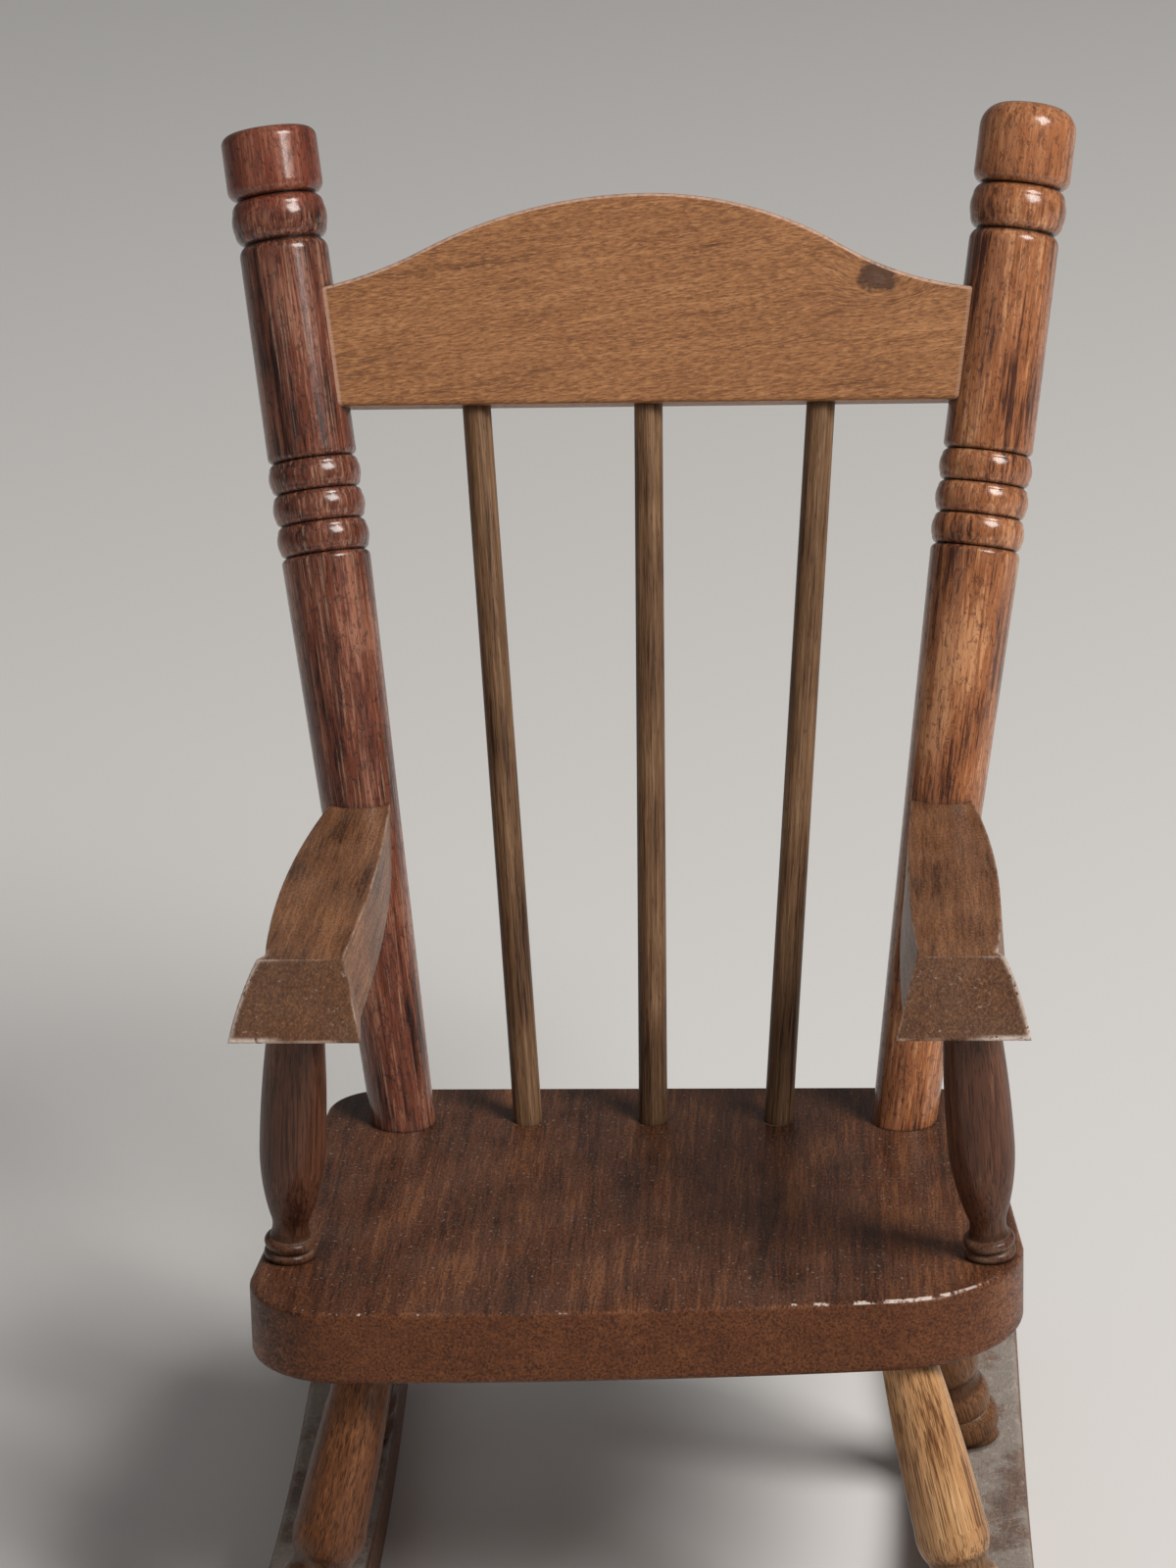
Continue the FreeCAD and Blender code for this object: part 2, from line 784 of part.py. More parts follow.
def assemble():
    """Cut every joint from the piece that fills it, and return the finished pieces by name."""
    seat_board = make_seat_board()
    rail_board = make_rail_board()
    spindle_shares = {"left": -0.5, "middle": 0, "right": 0.5}
    arm_blank = make_arm_blank()
    arm_blanks = {"right": arm_blank, "left": mirrored("arm_blank_left", arm_blank)}
    doc.recompute()
    pieces = {}
    seat_sockets = []
    rail_sockets = []
    for place, share in spindle_shares.items():
        bore = make_spindle("spindle_bore_" + place, share)
        seat_sockets.append(bore)
        rail_sockets.append(bore)
        pieces["spindle_" + place] = make_spindle("spindle_" + place, share)
    for side_name in SIDES:
        post_tenon = make_post_tenon(side_name)
        scribed = cut("post_scribed_" + side_name, make_post_blank(side_name), seat_board)
        post = glued("post_" + side_name, scribed, post_tenon)
        dowel_bore = make_arm_dowel("arm_dowel_bore_" + side_name, side_name)
        pieces["back_post_" + side_name] = cut("back_post_" + side_name, post, rail_board, dowel_bore)
        pieces["arm_dowel_" + side_name] = make_arm_dowel("arm_dowel_" + side_name, side_name)
        support_tenon = make_support_tenon(side_name)
        arm = arm_blanks[side_name]
        shaped = make_support_blank(side_name)
        scribed = cut("support_scribed_" + side_name, shaped, seat_board, arm)
        pieces["arm_support_" + side_name] = glued("arm_support_" + side_name, scribed, support_tenon)
        pieces["arm_" + side_name] = cut("arm_" + side_name, arm, post, support_tenon, dowel_bore)
        seat_sockets += [post_tenon, support_tenon]
        rocker_board = make_rocker_board(side_name)
        rocker_sockets = []
        for end in ("front", "rear"):
            name = "_".join(("leg", end, side_name))
            leg_tenon = make_leg_tenon(side_name, end)
            scribed = cut(name + "_scribed", make_leg_blank(side_name, end), seat_board, rocker_board)
            pieces[name] = glued(name, scribed, leg_tenon)
            rocker_sockets.append(leg_tenon)
        seat_sockets += rocker_sockets
        pieces["rocker_" + side_name] = cut("rocker_" + side_name, rocker_board, *rocker_sockets)
    pieces["crest_rail"] = cut("crest_rail", rail_board, *rail_sockets)
    pieces["seat"] = cut("seat", seat_board, *seat_sockets)
    doc.recompute()
    return pieces


def check(pieces):
    """Stop on any failed object, and on any piece that is not one sound solid."""
    for item in doc.Objects:
        if "Invalid" in item.State or "Error" in item.State:
            raise RuntimeError("{} did not build: {}".format(item.Name, item.State))
    for name, piece in pieces.items():
        shape = piece.Shape
        if shape.isNull() or not shape.isValid() or len(shape.Solids) != 1:
            raise RuntimeError("{} is not one sound solid".format(name))


def set_at_rest(pieces):
    """Rock the chair until it balances, and put the origin at the floor, mid-box."""
    mass = sum(piece.Shape.Volume for piece in pieces.values())
    moment = Vector()
    for piece in pieces.values():
        moment += piece.Shape.Solids[0].CenterOfMass * piece.Shape.Volume
    centre = moment / mass
    pivot = Vector(0, s.rocker_middle_setback.value, (rocker_lowest() + s.rocker_radius).value)
    lean = math.degrees(math.atan2(centre.y - pivot.y, pivot.z - centre.z))
    turn = Placement(Vector(), Rotation(Vector(1, 0, 0), -lean), pivot)
    move_all(pieces, turn)
    box = FreeCAD.BoundBox()
    for piece in pieces.values():
        box.add(piece.Shape.optimalBoundingBox(False, False))
    # the rockers touch the floor straight below the centre of their arcs
    floor = pivot.z - s.rocker_radius.value
    move_all(pieces, Placement(Vector(0, -box.Center.y, -floor), Rotation()))
    sizes = (box.XLength, box.YLength, box.ZMax - floor)
    print("leans back {:.2f} deg at rest, box {:.2f} x {:.2f} x {:.2f} mm".format(lean, *sizes))
    print("chair frame origin now at", turn.multVec(Vector()) - Vector(0, box.Center.y, floor))


def move_all(pieces, change):
    for piece in pieces.values():
        piece.Placement = change.multiply(piece.Placement)
    doc.recompute()


def write(pieces):
    os.makedirs("parts", exist_ok=True)
    for name, piece in pieces.items():
        piece.Label = name
        piece.Shape.exportStep("parts/{}.step".format(name))
        print("{:20s} {:9.1f} mm3".format(name, piece.Shape.Volume))


finished = assemble()
check(finished)
set_at_rest(finished)
check(finished)
write(finished)
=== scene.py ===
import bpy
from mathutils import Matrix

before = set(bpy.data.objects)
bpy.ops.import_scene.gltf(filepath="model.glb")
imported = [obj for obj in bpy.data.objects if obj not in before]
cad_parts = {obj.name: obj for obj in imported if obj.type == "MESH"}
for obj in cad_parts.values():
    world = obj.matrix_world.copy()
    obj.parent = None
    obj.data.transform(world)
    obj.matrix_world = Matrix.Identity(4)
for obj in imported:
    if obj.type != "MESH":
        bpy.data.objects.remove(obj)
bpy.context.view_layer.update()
print("pieces in the frame:", len(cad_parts))

# %% [markdown]
# The chair was drawn in its own frame: millimetres, X across the seat, Y from the front edge of
# the seat to the back, Z up from the top of the seat. It then came to rest on its rockers, so the
# packed chair is tilted a little. Two small functions carry a point or a direction from the
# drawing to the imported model, and every axis below is written in the drawing's own numbers.

# %% From the drawing to the model
import bmesh
import bpy
import math
from mathutils import Matrix, Vector

MM = 0.001
REST_LEAN = math.radians(6.41)
SEAT_ORIGIN = Vector((0, -0.068288, 0.090603))
TO_REST = Matrix.Rotation(-REST_LEAN, 3, "X")


def heading(x, y, z):
    """A direction of the drawing, as it lies in the model."""
    return (TO_REST @ Vector((x, y, z))).normalized()


def place(x, y, z):
    """A point of the drawing, in millimetres, as it lies in the model, in metres."""
    return TO_REST @ (Vector((x, y, z)) * MM) + SEAT_ORIGIN


print("front edge of the seat:", [round(n, 4) for n in place(0, 0, 0)])

# %% [markdown]
# Wood has a direction, so each piece needs its own axes: where it starts, which way its grain
# runs, and which way its face looks. They are kept in one table. A post leans back and splays
# outwards; a leg splays and rakes; boards have their grain along their length.

# %% Where each piece starts and which way its grain runs
BACK_LEAN, POST_SPLAY, LEG_SPLAY = 16.75, 7.5, 13.5
BACK_SETBACK, POST_FOOT, RAIL_HEIGHT, ARM_OUT = 96.8, 49.2, 140.7, 57.6


def slope(degrees):
    """How far a line leans aside for each millimetre it rises."""
    return math.tan(math.radians(degrees))


def up_the_back(across, up):
    """A point of the leaning plane in which posts, rail and spindles lie."""
    lean = math.radians(BACK_LEAN)
    return Vector((across, BACK_SETBACK + up * math.sin(lean), up * math.cos(lean)))


FORWARD, UPWARD, BACKWARD, ACROSS = (0, -1, 0), (0, 0, 1), (0, 1, 0), (1, 0, 0)
PIECE_AXES = {
    "seat": ((0, 58, -7), BACKWARD, UPWARD),
    "crest_rail": (up_the_back(0, RAIL_HEIGHT), ACROSS, FORWARD),
}
for side, sign in (("left", -1), ("right", 1)):
    post_foot = up_the_back(sign * POST_FOOT, 0)
    post_head = up_the_back(sign * (POST_FOOT + slope(POST_SPLAY)), 1)
    inward = -sign * slope(LEG_SPLAY)
    PIECE_AXES["back_post_" + side] = (post_foot, post_head - post_foot, FORWARD)
    PIECE_AXES["arm_" + side] = ((sign * ARM_OUT, 0, 61.3), BACKWARD, UPWARD)
    PIECE_AXES["arm_dowel_" + side] = ((sign * ARM_OUT, 100, 55), BACKWARD, UPWARD)
    PIECE_AXES["arm_support_" + side] = (
        (sign * 63.8, 27, 0), (-sign * slope(4.5), -slope(7.5), 1), FORWARD)
    PIECE_AXES["leg_front_" + side] = ((sign * 61.17, 7.15, -66.46), (inward, slope(7.5), 1), FORWARD)
    PIECE_AXES["leg_rear_" + side] = ((sign * 61.48, 99.51, -67.78), (inward, -slope(16), 1), FORWARD)
    PIECE_AXES["rocker_" + side] = ((sign * 63.3, 58, -70), BACKWARD, UPWARD)
for name, share in (("left", -0.5), ("middle", 0), ("right", 0.5)):
    foot = up_the_back(share * POST_FOOT, 0)
    head = up_the_back(share * (POST_FOOT + RAIL_HEIGHT * slope(POST_SPLAY)), RAIL_HEIGHT)
    PIECE_AXES["spindle_" + name] = (foot, head - foot, FORWARD)
print("axes written for", len(PIECE_AXES), "pieces")

# %% [markdown]
# The camera stands above and in front of the chair and looks down at it, as someone at a table
# would. It was found in the chair's own frame as a heading, a tilt and a roll, so it is turned
# into the model's frame with the same rest lean.

# %% Camera
HEADING, DIP, ROLL = (math.radians(a) for a in (-3.32, 16.395, -1.334))
gaze = Vector((math.sin(HEADING) * math.cos(DIP), math.cos(HEADING) * math.cos(DIP), -math.sin(DIP)))
level = gaze.cross(Vector((0, 0, 1))).normalized()
above = level.cross(gaze)
right = math.cos(ROLL) * level + math.sin(ROLL) * above
upward = -math.sin(ROLL) * level + math.cos(ROLL) * above
turn = Matrix((right, upward, -gaze)).transposed()

camera_data = bpy.data.cameras.new("camera")
camera_data.sensor_width = 36
camera_data.lens = 106.34
camera_data.clip_start, camera_data.clip_end = 0.05, 30
camera = bpy.data.objects.new("camera", camera_data)
camera.matrix_world = Matrix.Translation(place(38.212, -756.252, 320.427)) @ (TO_REST @ turn).to_4x4()
bpy.context.scene.collection.objects.link(camera)
bpy.context.scene.camera = camera
print("camera stands at", [round(n, 3) for n in camera.location])

# %% [markdown]
# A shader tree is easier to read when each node takes one line. These helpers add a node with its
# inputs, do sums on masks, rescale a mask and blend two colours. A socket that is given another
# node's output is linked; one that is given a number keeps that number.

# %% Helpers for shader trees
def add(tree, kind, sockets=None, **settings):
    node = tree.nodes.new(kind)
    for key, value in settings.items():
        setattr(node, key, value)
    for key, value in (sockets or {}).items():
        if isinstance(value, bpy.types.NodeSocket):
            tree.links.new(value, node.inputs[key])
        else:
            node.inputs[key].default_value = value
    return node


def sums(tree, operation, *values, clamp=False):
    node = add(tree, "ShaderNodeMath", dict(enumerate(values)), operation=operation, use_clamp=clamp)
    return node.outputs[0]


def rescale(tree, value, low, high, to_low=0.0, to_high=1.0):
    sockets = {"Value": value, "From Min": low, "From Max": high, "To Min": to_low, "To Max": to_high}
    return add(tree, "ShaderNodeMapRange", sockets, interpolation_type="SMOOTHSTEP").outputs[0]


def blend(tree, share, first, second, mode="MIX"):
    sockets = {0: share, 6: first, 7: second}
    return add(tree, "ShaderNodeMix", sockets, data_type="RGBA", blend_type=mode).outputs[2]


def stretch(tree, point, across, along):
    """Squeeze a pattern to a width across the grain and a length along it, in millimetres."""
    scale = (1 / across, 1 / across, 1 / along)
    return add(tree, "ShaderNodeVectorMath", {0: point, 1: scale}, operation="MULTIPLY").outputs[0]


def noise(tree, point, batch, detail=2.0, rough=0.55, bend=0.0):
    sockets = {"Vector": point, "W": batch, "Scale": 1.0, "Detail": detail,
               "Roughness": rough, "Distortion": bend}
    return add(tree, "ShaderNodeTexNoise", sockets, noise_dimensions="4D").outputs["Fac"]


def new_group(name, takes, gives):
    """A shader node group with named inputs and outputs, and its two end nodes."""
    group = bpy.data.node_groups.new(name, "ShaderNodeTree")
    for title, value in takes.items():
        kind = "NodeSocketFloat"
        if isinstance(value, tuple):
            kind = "NodeSocketColor" if len(value) == 4 else "NodeSocketVector"
        socket = group.interface.new_socket(title, in_out="INPUT", socket_type=kind)
        socket.default_value = value
    for title, kind in gives.items():
        group.interface.new_socket(title, in_out="OUTPUT", socket_type="NodeSocket" + kind)
    return group, group.nodes.new("NodeGroupInput").outputs, group.nodes.new("NodeGroupOutput").inputs


# %% [markdown]
# Stained hardwood is not one colour. Bundles of fibre take more or less stain, so a turned post
# shows long streaks a millimetre wide with finer ones inside them, broad soft patches, and dark
# pores. The streaks are noise that is squeezed across the grain and stretched along it. The same
# group serves every piece: the piece's own axes decide which way it runs, so end grain shows as
# dots by itself.

# %% Grain, shared by every wood
def make_grain():
    takes = {"Point": (0.0, 0.0, 0.0), "Batch": 0.0, "Streak Width": 1.2, "Streak Length": 60.0,
             "Dark": (0.05, 0.02, 0.01, 1.0), "Middle": (0.15, 0.06, 0.03, 1.0),
             "Light": (0.3, 0.14, 0.07, 1.0), "Contrast": 1.0, "Pores": 0.4, "Patches": 0.5}
    group, given, result = new_group(
        "Wood Grain", takes, {"Color": "Color", "Tone": "Float", "Height": "Float"})
    along = add(group, "ShaderNodeSeparateXYZ", {0: given["Point"]}).outputs
    x = sums(group, "DIVIDE", along[0], given["Streak Width"])
    y = sums(group, "DIVIDE", along[1], given["Streak Width"])
    z = sums(group, "DIVIDE", along[2], given["Streak Length"])
    squeezed = add(group, "ShaderNodeCombineXYZ", {0: x, 1: y, 2: z}).outputs[0]
    streaks = noise(group, squeezed, given["Batch"], detail=3.0, rough=0.6, bend=0.35)
    finer = add(group, "ShaderNodeVectorMath", {0: squeezed, 1: (3.4, 3.4, 5.0)},
                operation="MULTIPLY").outputs[0]
    fine = noise(group, finer, sums(group, "ADD", given["Batch"], 7.0), detail=2.0)
    patches = noise(group, stretch(group, given["Point"], 9.0, 26.0),
                    sums(group, "ADD", given["Batch"], 3.0), detail=1.0)
    pore_noise = noise(group, stretch(group, given["Point"], 0.34, 2.6),
                       sums(group, "ADD", given["Batch"], 11.0), detail=1.0)
    pores = rescale(group, pore_noise, 0.6, 0.72)

    swing = sums(group, "SUBTRACT", streaks, 0.5)
    swing = sums(group, "MULTIPLY_ADD", sums(group, "SUBTRACT", fine, 0.5), 0.75, swing)
    wide = sums(group, "MULTIPLY", sums(group, "SUBTRACT", patches, 0.5), given["Patches"])
    swing = sums(group, "ADD", sums(group, "MULTIPLY", swing, given["Contrast"]), wide)
    tone = sums(group, "ADD", sums(group, "MULTIPLY", swing, 2.0), 0.5, clamp=True)
    darker = blend(group, rescale(group, tone, 0.0, 0.5), given["Dark"], given["Middle"])
    colour = blend(group, rescale(group, tone, 0.5, 1.0), darker, given["Light"])
    pore_share = sums(group, "MULTIPLY", pores, given["Pores"])
    colour = blend(group, pore_share, colour, given["Dark"])
    height = sums(group, "MULTIPLY_ADD", pores, -0.6, fine)
    group.links.new(colour, result["Color"])
    group.links.new(tone, result["Tone"])
    group.links.new(height, result["Height"])
    return group


GRAIN = make_grain()
print("grain group has", len(GRAIN.nodes), "nodes")

# %% [markdown]
# Varnish wears off where hands and shelves rub it, which is along the sharp edges, and the bare
# wood shows paler there. The Bevel node gives the normal as if the edges were rounded; where that
# differs from the real normal there is an edge. Noise breaks the line up so that it comes and goes.
# The rounded normal is passed on too, so that light catches each edge as it does on eased wood.

# %% Worn edges, shared by every piece
def make_edge_wear():
    takes = {"Reach": 0.0008, "Patch Size": 6.0, "Amount": 0.5, "Batch": 0.0, "Point": (0.0, 0.0, 0.0)}
    gives = {"Mask": "Float", "Edge": "Float", "Normal": "Vector"}
    group, given, result = new_group("Edge Wear", takes, gives)
    rounded = add(group, "ShaderNodeBevel", {"Radius": given["Reach"]}, samples=6).outputs[0]
    plain = add(group, "ShaderNodeNewGeometry").outputs["Normal"]
    alike = add(group, "ShaderNodeVectorMath", {0: rounded, 1: plain}, operation="DOT_PRODUCT").outputs[1]
    edge = rescale(group, sums(group, "SUBTRACT", 1.0, alike), 0.015, 0.16)
    size = sums(group, "DIVIDE", 1.0, given["Patch Size"])
    spread = add(group, "ShaderNodeVectorMath", {0: given["Point"], "Scale": size},
                 operation="SCALE").outputs[0]
    patch = noise(group, spread, given["Batch"], detail=4.0, rough=0.65)
    floor_level = sums(group, "SUBTRACT", 0.75, sums(group, "MULTIPLY", given["Amount"], 0.5))
    gate = rescale(group, sums(group, "SUBTRACT", patch, floor_level), -0.1, 0.1)
    group.links.new(sums(group, "MULTIPLY", edge, gate), result["Mask"])
    group.links.new(edge, result["Edge"])
    group.links.new(rounded, result["Normal"])
    return group


EDGE_WEAR = make_edge_wear()
print("edge wear group has", len(EDGE_WEAR.nodes), "nodes")

# %% [markdown]
# Dust settles on what faces up, and corners and joints are darkened as painted shade. The first
# is the height of the surface's normal, broken up by noise; the second is ambient occlusion over a
# couple of millimetres.

# %% Dust and painted shade, shared by every piece
def make_dust_and_shade():
    takes = {"Point": (0.0, 0.0, 0.0), "Batch": 0.0, "Amount": 0.5, "Speck Size": 0.8, "Patch Size": 12.0}
    group, given, result = new_group("Dust And Painted Shade", takes,
                                     {"Dust": "Float", "Specks": "Float", "Painted Shade": "Float"})
    normal = add(group, "ShaderNodeNewGeometry").outputs["Normal"]
    facing = add(group, "ShaderNodeSeparateXYZ", {0: normal}).outputs[2]
    upward_share = rescale(group, facing, 0.35, 0.95)

    def spread(size, batch_step, detail):
        scale = sums(group, "DIVIDE", 1.0, size)
        point = add(group, "ShaderNodeVectorMath", {0: given["Point"], "Scale": scale},
                    operation="SCALE").outputs[0]
        return noise(group, point, sums(group, "ADD", given["Batch"], batch_step), detail, 0.6)

    patches = rescale(group, spread(given["Patch Size"], 21.0, 4.0), 0.38, 0.62)
    specks = rescale(group, spread(given["Speck Size"], 23.0, 1.0), 0.66, 0.74)
    film = sums(group, "MULTIPLY", sums(group, "MULTIPLY", upward_share, given["Amount"]),
                sums(group, "MULTIPLY_ADD", patches, 0.7, 0.3))
    # Ambient occlusion darkens corners and joints: painted shade.
    occlusion = add(group, "ShaderNodeAmbientOcclusion", {"Distance": 0.0022}, samples=6).outputs["AO"]
    group.links.new(sums(group, "MINIMUM", film, 1.0), result["Dust"])
    group.links.new(sums(group, "MULTIPLY", specks, upward_share), result["Specks"])
    group.links.new(rescale(group, occlusion, 0.85, 0.35), result["Painted Shade"])
    return group


DUST_AND_SHADE = make_dust_and_shade()

# %% [markdown]
# A turner's grooves are painted nearly black, as painted shade, and the crowns between them are
# rubbed. Both follow from how far a point is from the piece's own axis, which its coordinates give
# directly, so no picture of the turning is needed.

# %% Grooves of a turning, shared by posts, legs and supports
def make_turning():
    takes = {"Point": (0.0, 0.0, 0.0), "Floor": 7.7, "Rim": 8.5, "From": 100.0, "To": 200.0}
    group, given, result = new_group("Turned Grooves", takes, {"Groove": "Float", "Radius": "Float"})
    part = add(group, "ShaderNodeSeparateXYZ", {0: given["Point"]}).outputs
    square = sums(group, "ADD", sums(group, "MULTIPLY", part[0], part[0]),
                  sums(group, "MULTIPLY", part[1], part[1]))
    radius = sums(group, "SQRT", square)
    sunk = rescale(group, radius, given["Rim"], given["Floor"])
    inside = sums(group, "MULTIPLY", sums(group, "GREATER_THAN", part[2], given["From"]),
                  sums(group, "LESS_THAN", part[2], given["To"]))
    group.links.new(sums(group, "MULTIPLY", sunk, inside), result["Groove"])
    group.links.new(radius, result["Radius"])
    return group


TURNING = make_turning()

# %% [markdown]
# Each piece gets its own material, because its grain has its own direction and its own place in
# the plank. A Mapping node turns the object's coordinates into the piece's own, in millimetres,
# with Z along the grain. The same node, set to another piece's axes, tells a board how far it is
# from the post that it runs into.

# %% A blank finish for one piece
def own_point(tree, where, node_name):
    """The object's coordinates seen from a piece: in millimetres, Z along its grain."""
    foot, grain, face = PIECE_AXES[node_name]
    z = heading(*grain)
    y = (heading(*face) - heading(*face).dot(z) * z).normalized()
    to_piece = Matrix((y.cross(z), y, z))
    mapping = add(tree, "ShaderNodeMapping", {"Vector": where})
    mapping.inputs["Scale"].default_value = (1 / MM,) * 3
    mapping.inputs["Rotation"].default_value = to_piece.to_euler("XYZ")
    mapping.inputs["Location"].default_value = -(to_piece @ place(*foot)) / MM
    return mapping.outputs[0]


def new_finish(node_name):
    """Shader tree, shader and grain point of a new material, which is put on the piece."""
    material = bpy.data.materials.new(node_name + "_finish")
    material.use_nodes = True
    tree = material.node_tree
    where = add(tree, "ShaderNodeTexCoord").outputs["Object"]
    point = own_point(tree, where, node_name)
    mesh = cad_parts[node_name].data
    mesh.materials.clear()
    mesh.materials.append(material)
    return tree, tree.nodes["Principled BSDF"], point


def use(tree, group, **values):
    sockets = {key.replace("_", " "): value for key, value in values.items()}
    return add(tree, "ShaderNodeGroup", sockets, node_tree=group).outputs


def tint(red, green, blue):
    return (red, green, blue, 1.0)


def coat(tree, colour, share, top):
    """Lay a flat colour over another, by a mask."""
    return blend(tree, share, colour, top)


def shade(tree, mask, strength):
    return sums(tree, "MULTIPLY", mask, strength)


def facing(tree, direction, least, full):
    """A mask of the faces that look within some degrees of a direction."""
    normal = add(tree, "ShaderNodeNewGeometry").outputs["Normal"]
    alike = add(tree, "ShaderNodeVectorMath", {0: normal, 1: heading(*direction)},
                operation="DOT_PRODUCT").outputs["Value"]
    return rescale(tree, alike, math.cos(math.radians(least)), math.cos(math.radians(full)))


# %% [markdown]
# What is the same all over a piece is set on the shader itself: how much clear coat there is, how
# sharp it is, and how much the wood under it shines by itself. Stained wood under a finish hardly
# shines alone, and a high value there would grey the dark stains.

# %% The last step of every finish
def seal(tree, shader, colour, rough, height, normal, depth, coat_weight, coat_rough, sheen=0.14):
    tree.links.new(colour, shader.inputs["Base Color"])
    tree.links.new(rough, shader.inputs["Roughness"])
    sockets = {"Height": height, "Normal": normal, "Strength": 0.5, "Distance": depth * MM}
    tree.links.new(add(tree, "ShaderNodeBump", sockets).outputs[0], shader.inputs["Normal"])
    shader.inputs["Specular IOR Level"].default_value = sheen
    shader.inputs["Coat Weight"].default_value = coat_weight
    shader.inputs["Coat Roughness"].default_value = coat_rough


# %% [markdown]
# The two back posts were stained dark and varnished until they shine. The varnish is a clear coat
# over streaky wood, so it is the shader's coat, with sharp highlights, while the wood below stays
# duller. Old varnish has also drawn together into small dark islands. Grooves are painted almost
# black as painted shade, and corners and joints are darkened the same way. The left post is given a
# deeper, redder stain, part of which is painted shade of its shaded side, and the collar and finial
# above each shaft are redder still.

# %% Back posts
HEAD_FROM = 178.0


def finish_post(side, batch, dark, middle, light, rubbed, head):
    tree, shader, point = new_finish("back_post_" + side)
    grain = use(tree, GRAIN, Point=point, Batch=batch, Streak_Width=1.3, Streak_Length=30.0, Dark=dark,
                Middle=middle, Light=light, Contrast=0.95, Pores=0.5, Patches=0.85)
    islands = rescale(tree, noise(tree, stretch(tree, point, 1.0, 1.9), batch + 50.0, 4.0, 0.7, 0.8),
                      0.5, 0.64)
    lines = rescale(tree, noise(tree, stretch(tree, point, 0.55, 30.0), batch + 70.0), 0.54, 0.66)
    worn = use(tree, EDGE_WEAR, Point=point, Batch=batch, Reach=0.0007, Patch_Size=5.0, Amount=0.4)
    dust_and_shade = use(tree, DUST_AND_SHADE, Point=point, Batch=batch, Amount=0.1)
    turned = use(tree, TURNING, Point=point, Floor=7.6, Rim=8.5, From=105.0, To=190.0)
    up = add(tree, "ShaderNodeSeparateXYZ", {0: point}).outputs[2]
    top = rescale(tree, up, HEAD_FROM, HEAD_FROM + 4.0)
    shaft = sums(tree, "SUBTRACT", 1.0, top)
    colour = coat(tree, grain["Color"], shade(tree, sums(tree, "MULTIPLY", lines, shaft), rubbed),
                  tint(0.36, 0.22, 0.15))
    colour = coat(tree, colour, shade(tree, top, 0.35), head)
    colour = coat(tree, colour, shade(tree, islands, 0.55), dark)
    colour = coat(tree, colour, shade(tree, worn["Mask"], 0.3), tint(0.46, 0.22, 0.12))
    # Grooves, corners and joints are painted near black: painted shade.
    groove_shade = sums(tree, "MAXIMUM", turned["Groove"], shade(tree, dust_and_shade["Painted Shade"], 0.85))
    colour = coat(tree, colour, shade(tree, groove_shade, 0.9), tint(0.01, 0.004, 0.003))
    rough = sums(tree, "MULTIPLY_ADD", islands, 0.12, 0.34)
    height = sums(tree, "MULTIPLY_ADD", islands, -0.8, grain["Height"])
    seal(tree, shader, colour, rough, height, worn["Normal"], 0.22, coat_weight=0.8, coat_rough=0.17)


# The left post's deeper, redder stain is partly painted shade of its shaded side.
finish_post("left", 2.0, tint(0.02, 0.005, 0.003), tint(0.15, 0.042, 0.022),
            tint(0.33, 0.135, 0.08), rubbed=0.6, head=tint(0.25, 0.05, 0.024))
finish_post("right", 5.0, tint(0.06, 0.016, 0.007), tint(0.33, 0.118, 0.045),
            tint(0.56, 0.265, 0.125), rubbed=0.15, head=tint(0.42, 0.155, 0.06))
print("posts finished")

# %% [markdown]
# The crest rail is sawn from a paler plank, probably beech: orange-brown, satin, thick with short
# dark flecks along a grain that rises a little to the right. It has one knot close to the top
# edge, where the fibres bend round it. Where its ends enter the posts, a thin pale line of old
# glue and bare wood shows, and the sawn arrises are rubbed pale.

# %% Crest rail
KNOT_UP, KNOT_ACROSS = 24.4, 45.1
POST_RADIUS = 8.8


def knot_rings(tree, point, reach):
    """How far a point is from the knot, where 1 is the rim of an oval of that reach."""
    centred = add(tree, "ShaderNodeVectorMath", {0: point, 1: (KNOT_UP, 0.0, KNOT_ACROSS)},
                  operation="SUBTRACT").outputs[0]
    squeezed = add(tree, "ShaderNodeVectorMath", {0: centred, 1: (1 / (reach * 0.8), 0.0, 1 / reach)},
                   operation="MULTIPLY").outputs[0]
    return add(tree, "ShaderNodeVectorMath", {0: squeezed}, operation="LENGTH").outputs["Value"]


def joint_line(tree, reach):
    """A thin band of a board that lies within reach of either post's surface."""
    where = add(tree, "ShaderNodeTexCoord").outputs["Object"]
    bands = []
    for side in ("left", "right"):
        beside = use(tree, TURNING, Point=own_point(tree, where, "back_post_" + side))["Radius"]
        bands.append(rescale(tree, beside, POST_RADIUS + reach, POST_RADIUS + reach * 0.55))
    return bands


